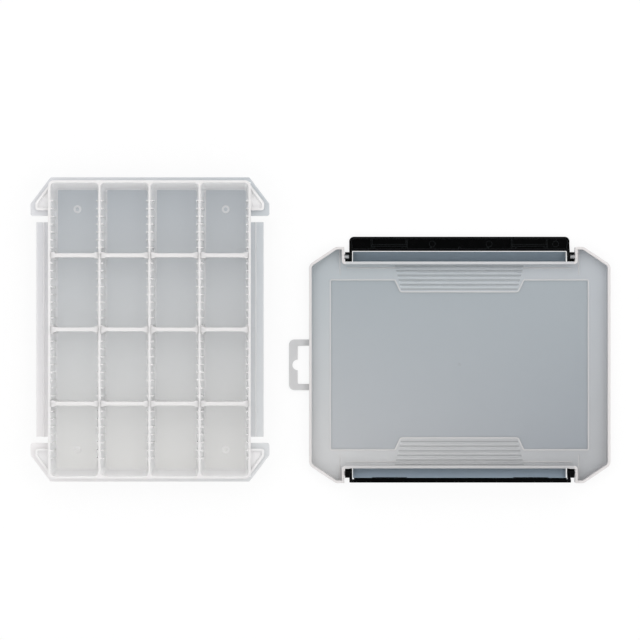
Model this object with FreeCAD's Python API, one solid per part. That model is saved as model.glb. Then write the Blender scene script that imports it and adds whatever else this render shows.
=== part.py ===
import FreeCAD, Part
import math
import os

# Compartment storage box, taken apart as photographed: the open tray with its twelve
# dividers, and beside it the lid, lying inside up with a latch on each long side.
# Every piece is drawn where it sits in the closed box: X across, Y along, Z up, with the
# origin under the middle of the tray. The lid and its latches are then set down beside it.

# Overall heights of the closed box
rim_z = 37.2                   # top of the tray's walls
parting_z = 28.5               # ledge on which the lid's skirt stands
rim_clearance = 0.4            # tray's rim to the underside of the lid
cut_overrun = 1.0              # how far a cutting tool passes the face that it opens
level_share = 0.01             # of that clearance, within which two heights count as one

# Tray body
body_width = 169.4
body_length = 249.0
outer_wall = 2.1
side_draft = 1.4               # how far the long walls lean in from the rim to the floor
end_draft = 3.8                # how far the short walls lean in
floor_thickness = 1.6
body_corner_radius = 5.0
base_edge_radius = 2.0
channel_count = 4
inner_wall = 1.8
channel_corner_radius = 3.5
floor_fillet = 2.0

# Ribs that hold the dividers
rib_pitch = 6.52
rib_from_end = 14.0            # space without ribs at each end of a channel
rib_thickness = 1.0
rib_depth = 2.0
rib_below_rim = 1.6

# Moulding rings on the tray's floor
ring_outer_radius = 3.35
ring_inner_radius = 1.6
ring_height = 0.4
ring_from_end = 23.0           # from the tray's end to the ring's middle

# Ledge and corner wings of the tray
ledge_thickness = 2.2
end_ledge = 2.9                # ledge beyond the short walls
wing_reach = 15.3              # wing beyond the long walls
wing_flat = 10.2               # straight outer edge of a wing
wing_chamfer_x = 16.8
wing_chamfer_y = 22.2
wing_corner_radius = 2.0

# Raised rib round the pocket of a wing
wing_rib_from_side = 4.3
wing_rib_from_end = 4.6
wing_rib_from_chamfer = 3.0
wing_rib_radius = 2.6
wing_rib_width = 2.0
wing_rib_height = 3.0

# Latch strips along the tray's long walls
strip_reach = 10.4
strip_end_clearance = 0.8      # end of a strip to the latch arm beside it
strip_lip_thickness = 2.8
strip_lip_drop = 2.3           # lip below the underside of the strip
strip_ridge_from_wall = 3.4
strip_ridge_width = 1.0
strip_ridge_height = 0.5
strip_web_thickness = 1.4
strip_web_pitch = 22.35

# Dividers
divider_rows = (-9.5, 0.0, 9.5)   # places along the tray, counted in rib pitches
divider_thickness = 3.2
divider_below_rim = 0.3
fork_width = 5.2
fork_length = 2.6
fork_taper = 1.6
rib_side_clearance = 0.15
rib_tip_clearance = 0.3
rib_top_clearance = 0.2        # rib's top to the cap of the fork above it
divider_end_clearance = 0.1
divider_foot_chamfer = 1.8

# Lid
lid_plate = 1.6
lid_skirt = 2.2
lid_skirt_clearance = 0.2      # inside of the skirt to the tray's rim
lid_seat_clearance = 0.1       # foot of the skirt to the ledge
lid_setback = 0.5              # lid's wings inside the tray's
lid_chamfer_x = 15.0
lid_chamfer_y = 22.5
lid_corner_radius = 6.0
lid_edge_radius = 0.6
lid_wing_flat = 7.2            # straight outer edge of a lid wing
recess_corner_radius = 0.8

# Raised panel of the lid, drawn in on both sides for the grip ribs
panel_rise = 0.8
panel_side_border = 14.7       # from the recess wall to the panel
panel_end_border = 17.3        # from the lid's short edge to the panel
panel_corner_radius = 2.0
notch_depth = 10.1
notch_mouth = 108.0
notch_floor = 98.6
bead_width = 1.2
bead_height = 0.25             # bead round the panel, on the inside
gate_radius = 1.2
gate_depth = 0.4

# Grip ribs beside each latch
grip_count = 5
grip_pitch = 3.9
grip_from_recess = 5.0         # first rib's middle, from the recess wall
grip_width = 1.7
grip_height = 0.6
grip_long = 108.0
grip_short = 98.0

# Low ribs on the inside of the lid: a wedge in each wing and a seat bead along each recess
wedge_from_end = 3.6           # from the end of a recess to the wedge's middle
wedge_reach = 11.0             # from the recess wall inward
wedge_width = 1.6
wedge_tip_width = 0.5
seat_from_recess = 5.2         # from the recess wall to the seat bead's middle
seat_width = 0.8
low_rib_height = 0.3

# Cover strip of the lid, in the latch recess
cover_reach = 8.5
cover_end_clearance = 0.7      # end of the strip to the latch arm beside it

# Hang tab with its slot
tab_width = 42.9
tab_reach = 17.0
tab_thickness = 2.0
tab_corner_radius = 4.5
slot_width = 32.2
slot_height = 9.6
slot_corner_radius = 1.2
slot_bump_radius = 4.5

# Latch pins on the lid
pin_radius = 2.1
pin_length = 4.0
pin_from_recess = 4.1          # latch axis, from the recess wall
pin_below_top = 7.2            # latch axis, from the lid's top
pin_fit = 0.06                 # radial clearance of the latch on its pin

# Latches: "out" is from the axis toward the outside, "along" from the axis to the free edge
latch_skin = 1.6
latch_rim = 0.8
latch_rim_width = 1.7
latch_lip = 4.0                # thickness of the finger lip along the free edge
latch_start_along = 5.0
latch_end_along = 17.0
latch_corner_radius = 3.8
boss_radius = 4.0
boss_length = 3.6
boss_end_clearance = 0.6       # end of a boss to the recess wall
clip_opening = 3.4
arm_thickness = 2.4
arm_reach_along = 11.0
hook_length = 29.5
hook_place_share = 0.637       # of the latch's half length
hook_thickness = 1.5
hook_clearance = 0.2           # hook to the lip that it catches
hook_engagement = 0.9
cross_rib_thickness = 1.2
tick_rib_pitch = 24.0
ejector_radius = 2.5
ejector_depth = 0.3
ejector_place_shares = (-0.246, 0.27, 0.875)   # of the latch's half length

# Where the lid lies beside the tray
lid_beside = 260.0
lid_lower = 30.0

# Worked out from the values above
body_x = body_width / 2
body_y = body_length / 2
channel_width = (body_width - 2 * outer_wall - (channel_count - 1) * inner_wall) / channel_count
channel_length = body_length - 2 * outer_wall
channel_pitch = channel_width + inner_wall
rib_top = rim_z - rib_below_rim
ledge_low = parting_z - ledge_thickness
ledge_y = body_y + end_ledge
wing_x = body_x + wing_reach
wing_end_y = ledge_y - wing_chamfer_y - wing_flat
strip_x = body_x + strip_reach
lip_low = ledge_low - strip_lip_drop
plate_low = rim_z + rim_clearance
plate_high = plate_low + lid_plate
lid_top = plate_high + panel_rise
skirt_low = parting_z + lid_seat_clearance
recess_x = body_x + lid_skirt_clearance + lid_skirt
lid_x = wing_x - lid_setback
lid_y = body_y + lid_skirt_clearance + lid_skirt
recess_y = lid_y - lid_chamfer_y - lid_wing_flat
panel_x = recess_x - panel_side_border
panel_y = lid_y - panel_end_border
pin_x = recess_x + pin_from_recess
pin_z = lid_top - pin_below_top
boss_end = recess_y - boss_end_clearance
arm_end = boss_end - boss_length
latch_out = pin_below_top
arm_inner = arm_end - arm_thickness
strip_y = arm_inner - strip_end_clearance
cover_y = arm_inner - cover_end_clearance
rib_count = 2 * round((channel_length / 2 - rib_from_end) / rib_pitch)
strip_web_count = 2 * int((strip_y - strip_web_thickness) / strip_web_pitch) + 1
tick_rib_count = 2 * int((arm_inner - cross_rib_thickness) / tick_rib_pitch) + 1


def vec(x, y, z=0.0):
    return FreeCAD.Vector(x, y, z)


def outline(corners, z):
    """Closed wire through corners (x, y, radius), each rounded by its radius."""
    starts = []
    ends = []
    arcs = []
    for index, (x, y, radius) in enumerate(corners):
        here = vec(x, y, z)
        before = corners[index - 1]
        after = corners[(index + 1) % len(corners)]
        back = (vec(before[0], before[1], z) - here).normalize()
        ahead = (vec(after[0], after[1], z) - here).normalize()
        if radius <= 0:
            starts.append(here)
            ends.append(here)
            arcs.append(None)
            continue
        half_angle = back.getAngle(ahead) / 2
        reach = radius / math.tan(half_angle)
        start = here + back * reach
        end = here + ahead * reach
        middle_way = (back + ahead).normalize()
        middle = here + middle_way * (radius / math.sin(half_angle) - radius)
        starts.append(start)
        ends.append(end)
        arcs.append(Part.Arc(start, middle, end).toShape())
    edges = []
    for index in range(len(corners)):
        if arcs[index] is not None:
            edges.append(arcs[index])
        edges.append(Part.makeLine(ends[index], starts[(index + 1) % len(corners)]))
    return Part.Wire(edges)


def prism(corners, low, high):
    """Upright solid over a rounded outline."""
    return Part.Face(outline(corners, low)).extrude(vec(0, 0, high - low))


def block(x_range, y_range, z_range):
    """Box between three (low, high) ranges, given in either order."""
    low = [min(pair) for pair in (x_range, y_range, z_range)]
    size = [abs(pair[1] - pair[0]) for pair in (x_range, y_range, z_range)]
    return Part.makeBox(size[0], size[1], size[2], FreeCAD.Vector(*low))


def four_fold(quarter):
    """Outline from its corners in the +X +Y quarter, listed from the X side to the Y side."""
    left = [(-x, y, radius) for x, y, radius in reversed(quarter)]
    below = [(-x, -y, radius) for x, y, radius in quarter]
    right = [(x, -y, radius) for x, y, radius in reversed(quarter)]
    return quarter + left + below + right


def leaning_box(half_low, half_high, low, high, radius):
    """Box whose walls lean, from its half sizes (x, y) below and above, with rounded corners."""
    wedge = Part.makeWedge(
        -half_low[0], low, -half_low[1], -half_high[1], -half_high[0],
        half_low[0], high, half_low[1], half_high[1], half_high[0],
    )
    wedge.rotate(vec(0, 0), vec(1, 0), 90)
    uprights = []
    for edge in wedge.Edges:
        if edge.BoundBox.ZLength > (high - low) / 2:
            uprights.append(edge)
    return wedge.makeFillet(radius, uprights)


def inset(corners, amount, low, high):
    """Upright solid over an outline drawn in by an amount."""
    face = Part.Face(outline(corners, low)).makeOffset2D(-amount)
    return face.extrude(vec(0, 0, high - low))


def flat_edges(solid, z):
    """Edges that lie at one height."""
    found = []
    for edge in solid.Edges:
        heights = [vertex.Z for vertex in edge.Vertexes]
        if max(abs(height - z) for height in heights) < rim_clearance * level_share:
            found.append(edge)
    return found


def spread(count, pitch):
    """Places of a centred row."""
    return [(index - (count - 1) / 2) * pitch for index in range(count)]


def fused(solids):
    return solids[0].multiFuse(solids[1:])


def joined(solids):
    """Fuse, with faces in one plane merged."""
    return fused(solids).removeSplitter()


def channel_centres():
    return spread(channel_count, channel_pitch)


def channel_cavity():
    """One long channel with its two rows of ribs left standing."""
    half_x = channel_width / 2
    half_y = channel_length / 2
    over_share = cut_overrun / (rim_z - floor_thickness)
    over_x = side_draft * over_share
    over_y = end_draft * over_share
    hollow = leaning_box(
        (half_x - side_draft, half_y - end_draft),
        (half_x + over_x, half_y + over_y),
        floor_thickness,
        rim_z + cut_overrun,
        channel_corner_radius,
    )
    hollow = hollow.makeFillet(floor_fillet, flat_edges(hollow, floor_thickness))
    ribs = []
    for side in (-1, 1):
        for place in spread(rib_count, rib_pitch):
            ribs.append(
                block(
                    (side * (half_x - rib_depth), side * (half_x + cut_overrun)),
                    (place - rib_thickness / 2, place + rib_thickness / 2),
                    (floor_thickness - cut_overrun, rib_top),
                )
            )
    return hollow.cut(Part.makeCompound(ribs))


def tray_outline():
    return four_fold(
        [
            (body_x - outer_wall / 2, wing_end_y, 0),
            (wing_x, wing_end_y, wing_corner_radius),
            (wing_x, wing_end_y + wing_flat, wing_corner_radius),
            (wing_x - wing_chamfer_x, ledge_y, wing_corner_radius),
        ]
    )


def wing_rib_corners(side, end, draw_in, inner):
    """Outline round the pocket of one corner wing, drawn in by an amount."""
    outer = wing_x - wing_rib_from_side - draw_in
    start = wing_end_y + wing_rib_from_end + draw_in
    slope = wing_chamfer_y / wing_chamfer_x
    shift = (wing_rib_from_chamfer + draw_in) * math.hypot(1, slope)
    slant = wing_end_y + wing_flat + wing_x * slope - shift
    radius = wing_rib_radius - draw_in
    return [
        (side * inner, end * start, 0),
        (side * outer, end * start, radius),
        (side * outer, end * (slant - outer * slope), radius),
        (side * inner, end * (slant - inner * slope), 0),
    ]


def wing_ribs():
    """Raised rib round the pocket of each corner wing, ending at the long wall."""
    inner = body_x - outer_wall
    high = parting_z + wing_rib_height
    ribs = []
    for side in (-1, 1):
        for end in (-1, 1):
            ring = prism(wing_rib_corners(side, end, 0, inner), ledge_low, high)
            pocket = wing_rib_corners(side, end, wing_rib_width, inner - cut_overrun)
            ribs.append(ring.cut(prism(pocket, parting_z, high)))
    return ribs


def latch_strip(side):
    """Flange along a long wall, with the lip that a latch hooks under."""
    half = strip_y
    wall = side * (body_x - outer_wall / 2)
    lip_in = side * (strip_x - strip_lip_thickness)
    ridge = body_x + strip_ridge_from_wall
    solids = [
        block((wall, side * strip_x), (-half, half), (ledge_low, parting_z)),
        block((lip_in, side * strip_x), (-half, half), (lip_low, parting_z)),
        block(
            (side * ridge, side * (ridge + strip_ridge_width)),
            (-half, half),
            (ledge_low, parting_z + strip_ridge_height),
        ),
    ]
    for place in spread(strip_web_count, strip_web_pitch):
        solids.append(
            block(
                (wall, lip_in),
                (place - strip_web_thickness / 2, place + strip_web_thickness / 2),
                (lip_low, ledge_low),
            )
        )
    return solids


def floor_rings():
    rings = []
    ring_y = body_y - ring_from_end
    for x in (channel_centres()[0], channel_centres()[-1]):
        for y in (-ring_y, ring_y):
            foot = vec(x, y, floor_thickness / 2)
            height = floor_thickness / 2 + ring_height
            disc = Part.makeCylinder(ring_outer_radius, height, foot)
            hole_foot = vec(x, y, floor_thickness)
            rings.append(disc.cut(Part.makeCylinder(ring_inner_radius, height, hole_foot)))
    return rings


def tray():
    """Tray: floor, walls, rib rows, ledge, corner wings and latch strips in one moulding."""
    body = leaning_box(
        (body_x - side_draft, body_y - end_draft),
        (body_x, body_y),
        0,
        rim_z,
        body_corner_radius,
    )
    body = body.makeFillet(base_edge_radius, flat_edges(body, 0))
    solids = [body, prism(tray_outline(), ledge_low, parting_z)] + wing_ribs()
    for side in (-1, 1):
        solids += latch_strip(side)
    shape = joined(solids)
    cavity = channel_cavity()
    for x in channel_centres():
        shape = shape.cut(cavity.translated(vec(x, 0)))
    return joined([shape] + floor_rings())


def divider(x, y):
    """Cross wall whose ends slide down over a rib or between two ribs, capped at the top."""
    half = channel_width / 2 - divider_end_clearance
    neck = divider_thickness / 2
    fork = fork_width / 2
    slot = rib_thickness / 2 + rib_side_clearance
    slot_floor = channel_width / 2 - rib_depth - rib_tip_clearance
    beyond = half + cut_overrun
    quarter = [
        (half, fork, 0),
        (half - fork_length, fork, 0),
        (half - fork_length - fork_taper, neck, 0),
    ]
    shape = prism(four_fold(quarter), floor_thickness, rim_z - divider_below_rim)
    for side in (-1, 1):
        slot_cut = block(
            (side * slot_floor, side * beyond),
            (-slot, slot),
            (floor_thickness - cut_overrun, rib_top + rib_top_clearance),
        )
        shape = shape.cut(slot_cut)
    foot = half - side_draft
    lean = [
        vec(foot - divider_foot_chamfer, 0, floor_thickness),
        vec(foot, 0, floor_thickness + divider_foot_chamfer),
        vec(half, 0, rim_z),
        vec(beyond, 0, rim_z),
        vec(beyond, 0, floor_thickness),
    ]
    outside = Part.Face(Part.makePolygon(lean + lean[:1]))
    for turn in (0, 180):
        wedge = outside.translated(vec(0, -fork_width)).extrude(vec(0, 2 * fork_width))
        shape = shape.cut(wedge.rotated(vec(0, 0), vec(0, 0, 1), turn))
    return shape.translated(vec(x, y))


def lid_outline():
    return four_fold(
        [
            (recess_x, recess_y, recess_corner_radius),
            (lid_x, recess_y, recess_corner_radius),
            (lid_x, lid_y - lid_chamfer_y, lid_corner_radius),
            (lid_x - lid_chamfer_x, lid_y, lid_corner_radius),
        ]
    )


def panel_outline():
    return four_fold(
        [
            (panel_x - notch_depth, notch_floor / 2, panel_corner_radius),
            (panel_x, notch_mouth / 2, panel_corner_radius),
            (panel_x, panel_y, panel_corner_radius),
        ]
    )


def grip_ribs(side, low, high, width):
    """Row of ribs beside a latch, longest at the recess."""
    ribs = []
    for index in range(grip_count):
        x = side * (recess_x - grip_from_recess - index * grip_pitch)
        half = (grip_long - (grip_long - grip_short) * index / (grip_count - 1)) / 2
        ribs.append(block((x - width / 2, x + width / 2), (-half, half), (low, high)))
    return ribs


def hang_tab():
    """Tab on one short side, with a hanging slot whose mouth ends at the lid."""
    half = tab_width / 2
    edge = -lid_y
    slot_far = edge - slot_height
    tab = prism(
        [
            (half, edge + lid_skirt / 2, 0),
            (-half, edge + lid_skirt / 2, 0),
            (-half, edge - tab_reach, tab_corner_radius),
            (half, edge - tab_reach, tab_corner_radius),
        ],
        plate_high - tab_thickness,
        plate_high,
    )
    low = plate_high - tab_thickness - cut_overrun
    high = plate_high + cut_overrun
    slot = prism(
        [
            (slot_width / 2, edge, 0),
            (-slot_width / 2, edge, 0),
            (-slot_width / 2, slot_far, slot_corner_radius),
            (slot_width / 2, slot_far, slot_corner_radius),
        ],
        low,
        high,
    )
    bump = Part.makeCylinder(slot_bump_radius, high - low, vec(0, slot_far, low))
    return tab.cut(slot).cut(bump)


def latch_pins(side):
    pins = []
    for end in (-1, 1):
        root = end * (recess_y + lid_skirt / 2)
        length = pin_length + lid_skirt / 2
        foot = vec(side * pin_x, root, pin_z)
        pins.append(Part.makeCylinder(pin_radius, length, foot, vec(0, -end)))
    return pins


def low_ribs():
    """Wedges in the wings and seat beads along the recesses, on the inside of the lid."""
    low = plate_low - low_rib_height
    seat_half = recess_y - lid_skirt
    ribs = []
    for side in (-1, 1):
        seat = side * (recess_x - seat_from_recess)
        ribs.append(
            block((seat - seat_width / 2, seat + seat_width / 2), (-seat_half, seat_half), (low, plate_high))
        )
        for end in (-1, 1):
            middle = end * (recess_y + wedge_from_end)
            root = side * (lid_x - lid_skirt / 2)
            tip = side * (recess_x - wedge_reach)
            corners = [
                (root, middle - wedge_width / 2, 0),
                (root, middle + wedge_width / 2, 0),
                (tip, middle + wedge_tip_width / 2, 0),
                (tip, middle - wedge_tip_width / 2, 0),
            ]
            ribs.append(prism(corners, low, plate_high))
    return ribs


def lid():
    """Lid: plate, skirt, raised panel, cover strips, latch pins and hang tab in one moulding."""
    whole = prism(lid_outline(), skirt_low, plate_high)
    whole = whole.makeFillet(lid_edge_radius, flat_edges(whole, plate_high))
    shell = whole.cut(inset(lid_outline(), lid_skirt, skirt_low - cut_overrun, plate_low))
    solids = [shell, prism(panel_outline(), plate_low, lid_top), hang_tab()]
    for side in (-1, 1):
        inner = side * (recess_x - lid_skirt / 2)
        outer = side * (recess_x + cover_reach)
        solids.append(block((inner, outer), (-cover_y, cover_y), (plate_low, plate_high)))
        solids += latch_pins(side)
        solids += grip_ribs(side, plate_low, plate_high + grip_height, grip_width)
    bead = prism(panel_outline(), plate_low - bead_height, plate_low)
    bead = bead.cut(inset(panel_outline(), bead_width, plate_low - bead_height, plate_low))
    shape = joined(solids + low_ribs() + [bead])
    gate = Part.makeCylinder(gate_radius, gate_depth + panel_rise, vec(0, 0, plate_low))
    hollows = [inset(panel_outline(), bead_width, plate_low - cut_overrun, plate_low + panel_rise)]
    hollows.append(gate)
    for side in (-1, 1):
        hollows += grip_ribs(side, plate_low - cut_overrun, plate_low + grip_height, grip_width / 2)
    return shape.cut(Part.makeCompound(hollows))


def latch_box(along, y_range, out):
    """Box in the latch's own directions, on the +X side with the latch closed."""
    x_range = (pin_x + out[0], pin_x + out[1])
    z_range = (pin_z - along[0], pin_z - along[1])
    return block(x_range, y_range, z_range)


def latch_plate():
    """Cover plate with a raised rim round its inner face."""
    corners = [
        (latch_start_along, -arm_end, 0),
        (latch_end_along, -arm_end, latch_corner_radius),
        (latch_end_along, arm_end, latch_corner_radius),
        (latch_start_along, arm_end, 0),
    ]
    skin_in = latch_out - latch_skin
    rim_in = skin_in - latch_rim
    plate = prism(corners, rim_in, latch_out)
    plate = plate.cut(inset(corners, latch_rim_width, rim_in, skin_in))
    # Drawn flat, then stood up: its X becomes down and its Z becomes out
    plate.rotate(vec(0, 0), vec(0, 1), 90)
    return plate.translated(vec(pin_x, 0, pin_z))


def latch_finger_lip():
    """Thicker free edge, between the rounded corners of the plate."""
    half = arm_end - latch_corner_radius
    along = (latch_end_along - latch_rim_width, latch_end_along)
    return latch_box(along, (-half, half), (latch_out - latch_lip, latch_out))


def latch_end(end):
    """Arm and clip at one end of a latch."""
    inner = end * arm_inner
    arm_corners = [
        vec(pin_x - boss_radius, inner, pin_z),
        vec(pin_x, inner, pin_z + boss_radius),
        vec(pin_x + boss_radius, inner, pin_z),
        vec(pin_x + latch_out, inner, pin_z - latch_start_along),
        vec(pin_x + latch_out, inner, pin_z - arm_reach_along),
        vec(pin_x + latch_out - latch_skin, inner, pin_z - arm_reach_along),
        vec(pin_x, inner, pin_z - boss_radius),
    ]
    arm = Part.Face(Part.makePolygon(arm_corners + arm_corners[:1]))
    arm = arm.extrude(vec(0, end * arm_thickness))
    foot = vec(pin_x, end * (arm_end - arm_thickness / 2), pin_z)
    boss = Part.makeCylinder(boss_radius, arm_thickness / 2 + boss_length, foot, vec(0, end))
    return [arm, boss]


def clip_cuts(end):
    """Bore for the pin, and the mouth through which the clip snaps on."""
    start = end * (arm_end - cut_overrun / 2)
    length = boss_length + cut_overrun
    bore_foot = vec(pin_x, start, pin_z)
    bore = Part.makeCylinder(pin_radius + pin_fit, length, bore_foot, vec(0, end))
    mouth = block(
        (pin_x, pin_x - boss_radius - cut_overrun),
        (start, start + end * length),
        (pin_z - clip_opening / 2, pin_z + clip_opening / 2),
    )
    return [bore, mouth]


def latch_hooks():
    """Two hooks that catch under the tray's lip, each between two cross ribs."""
    along = pin_z - lip_low + hook_clearance
    skin_in = latch_out - latch_skin / 2
    hook_in = strip_x - hook_engagement - pin_x
    rim_in = latch_out - latch_skin - latch_rim
    solids = []
    for side in (-1, 1):
        middle = side * hook_place_share * arm_end
        low = middle - hook_length / 2
        high = middle + hook_length / 2
        solids.append(latch_box((along, along + hook_thickness), (low, high), (hook_in, skin_in)))
        for place in (low, high):
            ends = (place - cross_rib_thickness / 2, place + cross_rib_thickness / 2)
            solids.append(latch_box((latch_start_along, latch_end_along), ends, (rim_in, skin_in)))
    for place in spread(tick_rib_count, tick_rib_pitch):
        ends = (place - cross_rib_thickness / 2, place + cross_rib_thickness / 2)
        tick = (latch_start_along, latch_start_along + hook_thickness + latch_rim_width)
        solids.append(latch_box(tick, ends, (rim_in, skin_in)))
    return solids


def ejector_marks():
    along = (latch_start_along + latch_end_along) / 2
    skin_in = latch_out - latch_skin
    marks = []
    for share in ejector_place_shares:
        foot = vec(pin_x + skin_in - latch_rim, share * arm_end, pin_z - along)
        depth = latch_rim + ejector_depth
        marks.append(Part.makeCylinder(ejector_radius, depth, foot, vec(1, 0)))
    return marks


def latch():
    """Latch in its closed place on the +X side of the box."""
    solids = [latch_plate(), latch_finger_lip()] + latch_hooks() + latch_end(-1) + latch_end(1)
    cuts = clip_cuts(-1) + clip_cuts(1) + ejector_marks()
    return fused(solids).cut(Part.makeCompound(cuts))


def set_down(shape):
    """Turn a closed piece of the lid inside up and lay it beside the tray."""
    turned = shape.copy()
    turned.rotate(vec(0, 0), vec(1, 1), 180)
    return turned.translated(vec(lid_beside, -lid_lower, lid_top))


def save(shape, name):
    shape.exportStep(os.path.join("parts", name + ".step"))
    print(name, len(shape.Solids), "solid", round(shape.Volume), "mm3", shape.isValid())


os.makedirs("parts", exist_ok=True)
tray_shape = tray()
lid_shape = lid()
closed_latch = latch()
front_open = closed_latch.rotated(vec(pin_x, 0, pin_z), vec(0, 1), -90)
rear_closed = closed_latch.rotated(vec(0, 0), vec(0, 0, 1), 180)

save(tray_shape, "tray")
save(set_down(lid_shape), "lid")
save(set_down(front_open), "front_latch")
save(set_down(rear_closed), "rear_latch")
for row, place in enumerate(divider_rows):
    for column, x in enumerate(channel_centres()):
        name = "divider_r%d_c%d" % (row + 1, column + 1)
        save(divider(x, place * rib_pitch), name)

for name, first, second in (
    ("tray and lid", tray_shape, lid_shape),
    ("tray and latch", tray_shape, closed_latch),
    ("lid and latch", lid_shape, closed_latch),
    ("lid and open latch", lid_shape, front_open),
):
    print("overlap when closed,", name + ":", round(first.common(second).Volume, 3), "mm3")
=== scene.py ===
import bpy
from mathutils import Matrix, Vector


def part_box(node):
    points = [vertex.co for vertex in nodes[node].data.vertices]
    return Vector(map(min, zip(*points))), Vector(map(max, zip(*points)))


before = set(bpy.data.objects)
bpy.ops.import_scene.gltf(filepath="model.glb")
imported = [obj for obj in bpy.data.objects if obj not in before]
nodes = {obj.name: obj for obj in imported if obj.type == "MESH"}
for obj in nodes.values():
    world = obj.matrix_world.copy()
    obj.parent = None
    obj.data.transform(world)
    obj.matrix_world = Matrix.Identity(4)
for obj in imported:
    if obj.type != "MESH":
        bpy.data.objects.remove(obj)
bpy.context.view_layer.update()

print("frame loaded:", len(nodes), "nodes")


# small helpers for materials
def newMaterial(name):
    mat = bpy.data.materials.new(name)
    mat.use_nodes = True
    tree = mat.node_tree
    shader = tree.nodes["Principled BSDF"]
    return mat, tree, shader


def addNode(tree, kind, **settings):
    node = tree.nodes.new(kind)
    for key, value in settings.items():
        setattr(node, key, value)
    return node


def place(tree):
    # place in the row frame, in metres: every CAD object sits at the origin
    coords = addNode(tree, "ShaderNodeTexCoord")
    split = addNode(tree, "ShaderNodeSeparateXYZ")
    tree.links.new(coords.outputs["Object"], split.inputs[0])
    return coords.outputs["Object"], split.outputs


def feed(tree, value, socket):
    # a constant goes on the socket itself, anything else is linked to it
    if isinstance(value, (int, float, tuple)):
        socket.default_value = value
    else:
        tree.links.new(value, socket)


def mapRange(tree, value, low, high, outLow=0.0, outHigh=1.0):
    node = addNode(tree, "ShaderNodeMapRange")
    node.inputs["From Min"].default_value = low
    node.inputs["From Max"].default_value = high
    node.inputs["To Min"].default_value = outLow
    node.inputs["To Max"].default_value = outHigh
    tree.links.new(value, node.inputs["Value"])
    return node.outputs["Result"]


def maths(tree, operation, first, second=0.0):
    node = addNode(tree, "ShaderNodeMath", operation=operation)
    feed(tree, first, node.inputs[0])
    feed(tree, second, node.inputs[1])
    return node.outputs[0]


def mixColour(tree, share, first, second, blend="MIX"):
    node = addNode(tree, "ShaderNodeMix", data_type="RGBA", blend_type=blend)
    feed(tree, share, node.inputs[0])
    feed(tree, first, node.inputs[6])
    feed(tree, second, node.inputs[7])
    return node.outputs[2]


def ramp(tree, value, stops):
    node = addNode(tree, "ShaderNodeValToRGB")
    elements = node.color_ramp.elements
    while len(elements) < len(stops):
        elements.new(0.5)
    for element, (where, colour) in zip(elements, stops):
        element.position = where
        element.color = (*colour, 1.0)
    tree.links.new(value, node.inputs["Fac"])
    return node.outputs["Color"]


def shares(tree, value, stops):
    return ramp(tree, value, [(where, (share, share, share)) for where, share in stops])


def between(tree, value, low, high):
    above = maths(tree, "GREATER_THAN", value, low)
    return maths(tree, "MULTIPLY", above, maths(tree, "LESS_THAN", value, high))


def within(tree, axes, middle, half):
    # 1 inside an upright box round the middle, 0 outside it
    sides = []
    for axis, centre, reach in zip("XY", middle, half):
        away = maths(tree, "ABSOLUTE", maths(tree, "SUBTRACT", axes[axis], centre))
        sides.append(maths(tree, "LESS_THAN", away, reach))
    return maths(tree, "MULTIPLY", *sides)


def noise(tree, vector, scale, detail=3.0):
    node = addNode(tree, "ShaderNodeTexNoise")
    node.inputs["Scale"].default_value = scale
    node.inputs["Detail"].default_value = detail
    tree.links.new(vector, node.inputs["Vector"])
    return node.outputs["Fac"]


surfaceLook = {
    "bevelSamples": 6,
    "edgeRange": (0.99, 0.75),  # cosine between face and rounded normal, from plain face to edge
    "noiseRange": (0.3, 0.7),
    "grainFiner": 4,
    "grainDepth": 0.0002,
    "ior": 1.49,
}


def softEdges(tree, radius):
    # normals rounded over the edges, and a share that is 1 on an edge and 0 on a plain face
    bevel = addNode(tree, "ShaderNodeBevel", samples=surfaceLook["bevelSamples"])
    bevel.inputs["Radius"].default_value = radius
    geometry = addNode(tree, "ShaderNodeNewGeometry")
    dot = addNode(tree, "ShaderNodeVectorMath", operation="DOT_PRODUCT")
    tree.links.new(bevel.outputs["Normal"], dot.inputs[0])
    tree.links.new(geometry.outputs["Normal"], dot.inputs[1])
    return bevel.outputs["Normal"], mapRange(tree, dot.outputs["Value"], *surfaceLook["edgeRange"])


def surface(tree, shader, vector, normal, look):
    # roughness that varies a little, and a fine moulded grain
    uneven = noise(tree, vector, look["grainScale"])
    rough = mapRange(tree, uneven, *surfaceLook["noiseRange"], *look["roughness"])
    tree.links.new(rough, shader.inputs["Roughness"])
    grain = addNode(tree, "ShaderNodeBump")
    grain.inputs["Strength"].default_value = look["bump"]
    grain.inputs["Distance"].default_value = surfaceLook["grainDepth"]
    fine = noise(tree, vector, look["grainScale"] * surfaceLook["grainFiner"])
    tree.links.new(fine, grain.inputs["Height"])
    tree.links.new(normal, grain.inputs["Normal"])
    tree.links.new(grain.outputs["Normal"], shader.inputs["Normal"])
    shader.inputs["Specular IOR Level"].default_value = look["specular"]


def frostedPlastic(name, look, paint):
    mat, tree, shader = newMaterial(name)
    vector, axes = place(tree)
    normal, edge = softEdges(tree, look["edgeRadius"])
    # the edge share lays a painted highlight along the edges
    edge = maths(tree, "MULTIPLY", edge, look["edgeShare"])
    colour, clear = paint(tree, axes, edge, look)
    tree.links.new(colour, shader.inputs["Base Color"])
    feed(tree, clear, shader.inputs["Transmission Weight"])
    shader.inputs["IOR"].default_value = surfaceLook["ior"]
    shader.inputs["Subsurface Weight"].default_value = look["scatter"]
    shader.inputs["Subsurface Radius"].default_value = (1.0, 1.0, 1.0)
    shader.inputs["Subsurface Scale"].default_value = look["scatterReach"]
    surface(tree, shader, vector, normal, look)
    return mat


def setMaterial(names, mat):
    for name in names:
        for entry in nodes[name].material_slots:
            entry.material = mat
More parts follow.
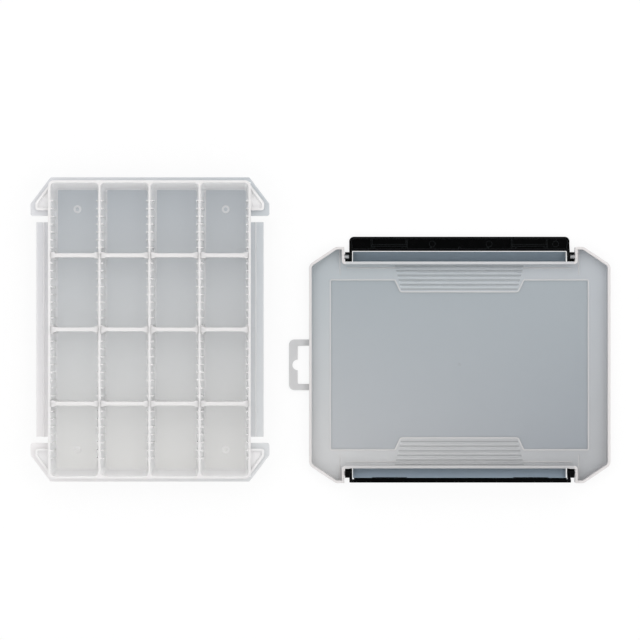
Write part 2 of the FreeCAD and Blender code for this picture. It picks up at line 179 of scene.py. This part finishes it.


# tray and dividers: cloudy plastic, with painted shade and light: greyer on the floor and whiter up the
# walls
trayLow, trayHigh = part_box("tray")
trayLook = {
    # painted shade: the floor greyer, darkest and bluest at the top end
    "floorShadeStops": [(0.0, (0.58, 0.615, 0.65)), (1.0, (0.89, 0.885, 0.87))],
    "floorRange": (0.117, -0.115),
    # painted light: the walls near white up their height, their ribs and side faces in two tones
    "wallColour": (0.985, 0.975, 0.975, 1.0),
    "wallStops": [(0.0, 0.0), (0.004, 0.0), (0.010, 0.9), (0.05, 0.9), (0.2, 1.0)],
    "faceColour": (0.975, 0.975, 0.985, 1.0),
    # painted highlight along the rounded foot of each channel
    "footHighlightColour": (0.985, 0.985, 0.985, 1.0),
    "footLine": (0.0166, 0.0174),
    "footHeight": (0.0012, 0.0022),
    "footShares": [(1.0, 0.15), (0.15, 1.0)],
    "channels": 4,
    "channelPitch": 0.04175,
    "channelHalf": (0.01815, 0.01955),
    # painted shade: the rim tops a duller grey than the walls, where the lamps reach them fully
    "rimColour": (0.77, 0.755, 0.755, 1.0),
    "rimStops": [(0.93, 0.0), (0.985, 1.0)],
    "height": (0.0016, trayHigh.z),
    "insideFoot": (0.0822, 0.1192),
    "insideRim": (0.0848, 0.1247),
    # painted shade: the outer strips and wings darker and bluer towards the right, paler towards the bottom
    # end
    "outerStops": [(0.0, (0.68, 0.685, 0.71)), (1.0, (0.543, 0.573, 0.6))],
    "outerShade": [(0.0, (0.93, 0.93, 0.93)), (1.0, (1.16, 1.12, 1.085))],
    # painted light: the tops of the raised wing ribs and the wing pockets paler
    "ribColour": (0.84, 0.825, 0.825, 1.0),
    "ribFoot": (0.0287, 0.0295),
    "pocketColour": (0.86, 0.855, 0.86, 1.0),
    "wingCorner": (0.1, 0.1052),
    "wingSlope": (0.797, 0.603),
    "pocketInset": 0.0046,
    "pocketSide": (0.0843, 0.0942),
    "pocketEnd": 0.1012,
    "sideRange": (trayLow.x, trayHigh.x),
    "sideShade": (1.02, 0.94),
    # painted highlight along every edge
    "edgeHighlightColour": (0.88, 0.87, 0.87, 1.0),
    "edgeRadius": 0.0005,
    "edgeShare": 0.3,
    "grainScale": 60.0,
    "roughness": (0.30, 0.42),
    "transmission": (0.8, 0.05),
    "clearLevel": 0.08,
    "scatter": 0.6,
    "scatterReach": 0.007,
    "specular": 0.15,
    "bump": 0.06,
}


def channelOff(tree, axes, look):
    # distance from the middle of the channel, below 0 on its left
    pitch = look["channelPitch"]
    along = maths(tree, "ADD", maths(tree, "DIVIDE", axes["X"], pitch), look["channels"] / 2)
    return maths(tree, "MULTIPLY", maths(tree, "SUBTRACT", maths(tree, "FRACT", along), 0.5), pitch)


def nearWall(tree, off, level, look):
    # 1 on the side faces of the channels, 0 on the ribs and the floor between them
    half = mapRange(tree, level, 0.0, 1.0, *look["channelHalf"])
    return maths(tree, "GREATER_THAN", maths(tree, "ABSOLUTE", off), half)


def footShare(tree, axes, off, look):
    # a painted highlight where the rounded foot of a channel catches light, on its left at the top end and
    # on its right at the other
    line = between(tree, maths(tree, "ABSOLUTE", off), *look["footLine"])
    line = maths(tree, "MULTIPLY", line, between(tree, axes["Z"], *look["footHeight"]))
    left, right = [mapRange(tree, axes["Y"], *look["floorRange"], *ends) for ends in look["footShares"]]
    return maths(tree, "MULTIPLY", line, mixColour(tree, maths(tree, "GREATER_THAN", off, 0.0), left, right))


def pocketShare(tree, axes, look):
    # 1 in the pockets of the corner wings, inside their raised ribs, where a paler colour is painted as
    # light
    x = maths(tree, "ABSOLUTE", axes["X"])
    y = maths(tree, "ABSOLUTE", axes["Y"])
    cornerX, cornerY = look["wingCorner"]
    slopeX, slopeY = look["wingSlope"]
    offX = maths(tree, "MULTIPLY", maths(tree, "SUBTRACT", x, cornerX), slopeX)
    offY = maths(tree, "MULTIPLY", maths(tree, "SUBTRACT", y, cornerY), slopeY)
    share = maths(tree, "LESS_THAN", maths(tree, "ADD", offX, offY), -look["pocketInset"])
    share = maths(tree, "MULTIPLY", share, between(tree, x, *look["pocketSide"]))
    return maths(tree, "MULTIPLY", share, maths(tree, "GREATER_THAN", y, look["pocketEnd"]))


def trayPaint(tree, axes, edge, look):
    # painted shade: the floor and the rim tops darker towards the right
    shade = mapRange(tree, axes["X"], *look["sideRange"], *look["sideShade"])
    floor = ramp(tree, mapRange(tree, axes["Y"], *look["floorRange"]), look["floorShadeStops"])
    floor = mixColour(tree, 1.0, floor, shade, "MULTIPLY")
    rim = mixColour(tree, 1.0, look["rimColour"], shade, "MULTIPLY")
    level = mapRange(tree, axes["Z"], *look["height"])
    off = channelOff(tree, axes, look)
    # painted light: whiter walls over the greyer floor, and the duller rim tops above them
    wall = mixColour(tree, nearWall(tree, off, level, look), look["wallColour"], look["faceColour"])
    colour = mixColour(tree, shares(tree, level, look["wallStops"]), floor, wall)
    foot = footShare(tree, axes, off, look)
    colour = mixColour(tree, foot, colour, look["footHighlightColour"])
    colour = mixColour(tree, shares(tree, level, look["rimStops"]), colour, rim)
    halves = [mapRange(tree, level, 0.0, 1.0, *ends) for ends in zip(look["insideFoot"], look["insideRim"])]
    inside = within(tree, axes, (0.0, 0.0), halves)
    # outside the tray body: painted shade across and along it, painted light in the pockets and on the rib
    # tops
    outer = ramp(tree, mapRange(tree, axes["X"], *look["sideRange"]), look["outerStops"])
    paler = ramp(tree, mapRange(tree, axes["Y"], *look["floorRange"]), look["outerShade"])
    outer = mixColour(tree, 1.0, outer, paler, "MULTIPLY")
    outer = mixColour(tree, pocketShare(tree, axes, look), outer, look["pocketColour"])
    outer = mixColour(tree, mapRange(tree, axes["Z"], *look["ribFoot"]), outer, look["ribColour"])
    clear = mapRange(tree, level, 0.0, look["clearLevel"], *look["transmission"])
    clear = maths(tree, "MULTIPLY", clear, maths(tree, "SUBTRACT", 1.0, foot))
    colour = mixColour(tree, inside, outer, colour)
    # painted highlight along the edges
    return mixColour(tree, edge, colour, look["edgeHighlightColour"]), clear


setMaterial(["tray"], frostedPlastic("trayFrosted", trayLook, trayPaint))

# a divider is painted as a wall, and a channel wider than the tray leaves it without side faces
dividerLook = dict(trayLook, wallStops=[(0.0, 0.7), (0.9, 1.0)], channelHalf=(1.0, 1.0))
dividerNames = [name for name in nodes if name.startswith("divider")]
setMaterial(dividerNames, frostedPlastic("dividerFrosted", dividerLook, trayPaint))
print("tray and dividers dressed")

# lid: the same plastic, painted greyer as painted shade, with a strip in each latch recess painted dark as
# painted shade
lidLow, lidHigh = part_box("lid")
latchLow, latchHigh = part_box("front_latch")
lidMiddle = ((latchLow.x + latchHigh.x) / 2, (lidLow.y + lidHigh.y) / 2)
lidLook = dict(
    trayLook,
    middle=lidMiddle,
    coverHalf=0.0905,
    recessWall=0.0873,
    anyReach=1.0,
    acrossRange=(0.16, 0.36),
    alongRange=(0.042, -0.102),
    # painted light and shade: the panel and the border greyer than the tray, graded across and along the lid
    panelStops=[
        [(0.0, (0.410, 0.449, 0.477)), (1.0, (0.483, 0.500, 0.520))],
        [(0.0, (0.408, 0.447, 0.475)), (1.0, (0.358, 0.383, 0.414))],
    ],
    borderStops=[
        [(0.0, (0.495, 0.533, 0.558)), (1.0, (0.617, 0.622, 0.628))],
        [(0.0, (0.515, 0.541, 0.570)), (1.0, (0.470, 0.480, 0.495))],
    ],
    panelTop=0.0017,
    # painted shade: each latch recess strip a dark bluish grey, graded along the lid
    coverShadeStops=[(0.0, (0.162, 0.203, 0.240)), (1.0, (0.315, 0.382, 0.45))],
    gripPitch=0.0039,
    gripFirst=0.0821,
    gripZone=(0.0635, 0.0845),
    gripHalf=(0.0492, 0.0545),
    gripTones=[(0.0, 1.42), (0.12, 1.16), (0.45, 0.95), (0.68, 0.58), (0.85, 0.9), (1.0, 1.42)],
    # painted light: the skirt paler up to the rim top, and painted shade on the rim beside each latch recess
    rimColour=(0.72, 0.695, 0.69, 1.0),
    height=(0.00242, lidHigh.z),
    rimStops=[(0.0, 0.0), (0.018, 0.52), (0.035, 0.52), (0.06, 0.5), (0.95, 0.7), (1.0, 1.0)],
    rimRecess=(0.0962, 0.0836),
    rimRecessShade=(0.45, 0.45, 0.45, 1.0),
    edgeShare=0.2,
    edgeHighlightColour=(0.66, 0.65, 0.65, 1.0),
    transmission=0.1,
    scatter=0.5,
    scatterReach=0.004,
)


def gripTone(tree, axes, look):
    # painted light and shade: the grip ribs outside show through the lid as bands, each painted bright on
    # one side and dark before the next
    middle = look["middle"]
    first = maths(tree, "SUBTRACT", middle[1] + look["gripFirst"], axes["Y"])
    phase = maths(tree, "FRACT", maths(tree, "DIVIDE", first, look["gripPitch"]))
    tone = shares(tree, phase, look["gripTones"])
    away = maths(tree, "ABSOLUTE", maths(tree, "SUBTRACT", axes["Y"], middle[1]))
    half = mapRange(tree, away, *look["gripZone"], *look["gripHalf"])
    across = maths(tree, "ABSOLUTE", maths(tree, "SUBTRACT", axes["X"], middle[0]))
    zone = maths(tree, "LESS_THAN", across, half)
    return maths(tree, "MULTIPLY", zone, between(tree, away, *look["gripZone"])), tone


def twoWay(tree, axes, look, stops):
    # painted light and shade: colour that changes along the lid and across it
    along = mapRange(tree, axes["Y"], *look["alongRange"])
    across = mapRange(tree, axes["X"], *look["acrossRange"])
    return mixColour(tree, across, ramp(tree, along, stops[0]), ramp(tree, along, stops[1]))


def lidPaint(tree, axes, edge, look):
    panel = twoWay(tree, axes, look, look["panelStops"])
    border = twoWay(tree, axes, look, look["borderStops"])
    zone, tone = gripTone(tree, axes, look)
    # painted light and shade in bands over the grip zone
    border = mixColour(tree, zone, border, mixColour(tree, 1.0, border, tone, "MULTIPLY"))
    # painted shade on the latch recess strips
    cover = ramp(tree, mapRange(tree, axes["Y"], *look["alongRange"]), look["coverShadeStops"])
    colour = mixColour(tree, maths(tree, "GREATER_THAN", axes["Z"], look["panelTop"]), panel, border)
    across = within(tree, axes, look["middle"], (look["coverHalf"], look["anyReach"]))
    inner = within(tree, axes, look["middle"], (look["anyReach"], look["recessWall"]))
    level = mapRange(tree, axes["Z"], *look["height"])
    # painted light: the skirt and rim paler towards the rim top
    rim = shares(tree, level, look["rimStops"])
    # painted shade: the rim dimmed beside each latch recess
    byRecess = within(tree, axes, look["middle"], (look["rimRecess"][0], look["anyReach"]))
    byRecess = maths(tree, "SUBTRACT", byRecess, within(tree, axes, look["middle"], look["rimRecess"]))
    rim = mixColour(tree, byRecess, rim, mixColour(tree, 1.0, rim, look["rimRecessShade"], "MULTIPLY"))
    colour = mixColour(tree, rim, colour, look["rimColour"])
    # painted highlight along the edges
    colour = mixColour(tree, edge, colour, look["edgeHighlightColour"])
    inRecess = maths(tree, "MULTIPLY", across, maths(tree, "SUBTRACT", 1.0, inner))
    return mixColour(tree, inRecess, colour, cover), look["transmission"]


setMaterial(["lid"], frostedPlastic("lidFrosted", lidLook, lidPaint))
print("lid dressed")

# latches: glossy black, with a painted highlight along their edges
latchLook = {
    "colour": (0.0005, 0.0006, 0.0007, 1.0),
    "edgeHighlightColour": (0.06, 0.067, 0.072, 1.0),
    "edgeRadius": 0.0003,
    "roughness": (0.20, 0.30),
    "grainScale": 180.0,
    "specular": 0.04,
    "bump": 0.04,
}


def latchBlack(look):
    mat, tree, shader = newMaterial("latchBlack")
    vector = place(tree)[0]
    normal, edge = softEdges(tree, look["edgeRadius"])
    # black, with a painted highlight along the edges
    tree.links.new(mixColour(tree, edge, look["colour"], look["edgeHighlightColour"]), shader.inputs["Base Color"])
    surface(tree, shader, vector, normal, look)
    return mat


setMaterial(["front_latch", "rear_latch"], latchBlack(latchLook))
print("latches dressed")

# floor, light and camera
stageLook = {
    "place": (0.14, 0.0, -0.0004),
    "size": 8.0,
    "colour": (0.93, 0.93, 0.93, 1.0),
    "roughness": 0.9,
    "glow": 0.85,
}


def makeFloor(look):
    bpy.ops.mesh.primitive_plane_add(size=look["size"], location=look["place"])
    floor = bpy.context.object
    floor.name = "paleFloor"
    mat, tree, shader = newMaterial("paleFloor")
    shader.inputs["Base Color"].default_value = look["colour"]
    shader.inputs["Roughness"].default_value = look["roughness"]
    # the camera, and what mirrors or lets light through, see a floor that is part plain white
    glow = addNode(tree, "ShaderNodeEmission")
    mix = addNode(tree, "ShaderNodeMixShader")
    rays = addNode(tree, "ShaderNodeLightPath")
    seen = maths(tree, "MAXIMUM", rays.outputs["Is Camera Ray"], rays.outputs["Is Glossy Ray"])
    seen = maths(tree, "MAXIMUM", seen, rays.outputs["Is Transmission Ray"])
    tree.links.new(maths(tree, "MULTIPLY", seen, look["glow"]), mix.inputs["Fac"])
    tree.links.new(shader.outputs["BSDF"], mix.inputs[1])
    tree.links.new(glow.outputs["Emission"], mix.inputs[2])
    tree.links.new(mix.outputs["Shader"], tree.nodes["Material Output"].inputs["Surface"])
    floor.data.materials.append(mat)


makeFloor(stageLook)

lightLook = {
    "zenith": 0.40,
    "horizon": 0.80,
    "zenithRange": (0.88, 0.98),
    "aim": (0.14, 0.0, 0.0),
    "lamps": [  # name, place, size, watts
        ("lowerLight", (0.14, -0.9, 1.5), 1.0, 3.3),
        ("upperLight", (0.14, 0.9, 1.5), 1.0, 5.5),
        ("leftLight", (-0.76, 0.0, 1.5), 1.0, 2.8),
        ("rightLight", (1.04, 0.0, 1.5), 1.0, 3.9),
    ],
}


def areaLight(name, where, size, power, target):
    data = bpy.data.lights.new(name, "AREA")
    data.size = size
    data.energy = power
    lamp = bpy.data.objects.new(name, data)
    bpy.context.scene.collection.objects.link(lamp)
    lamp.location = where
    aim = Vector(target) - lamp.location
    lamp.rotation_euler = aim.to_track_quat("-Z", "Y").to_euler()


def makeWorld(look):
    # a studio that is bright at the sides and dim overhead, where the camera hangs
    world = bpy.data.worlds.new("studio")
    bpy.context.scene.world = world
    world.use_nodes = True
    tree = world.node_tree
    coords = addNode(tree, "ShaderNodeTexCoord")
    split = addNode(tree, "ShaderNodeSeparateXYZ")
    tree.links.new(coords.outputs["Generated"], split.inputs[0])
    strength = mapRange(tree, split.outputs["Z"], *look["zenithRange"], look["horizon"], look["zenith"])
    # past the floor's edge the camera sees plain white, which lights nothing
    rays = addNode(tree, "ShaderNodeLightPath")
    strength = maths(tree, "MAXIMUM", strength, rays.outputs["Is Camera Ray"])
    tree.links.new(strength, tree.nodes["Background"].inputs["Strength"])
    tree.nodes["Background"].inputs["Color"].default_value = (1.0, 1.0, 1.0, 1.0)


makeWorld(lightLook)
for lamp in lightLook["lamps"]:
    areaLight(*lamp, lightLook["aim"])

cameraLook = {"place": (0.1423, 0.0079, 2.8), "lens": 186.3}
cameraData = bpy.data.cameras.new("photoCamera")
cameraData.lens = cameraLook["lens"]
camera = bpy.data.objects.new("photoCamera", cameraData)
bpy.context.scene.collection.objects.link(camera)
camera.location = cameraLook["place"]
camera.rotation_euler = (0.0, 0.0, 0.0)
bpy.context.scene.camera = camera

bpy.context.scene.view_settings.view_transform = "Standard"
print("stage, light and camera set")
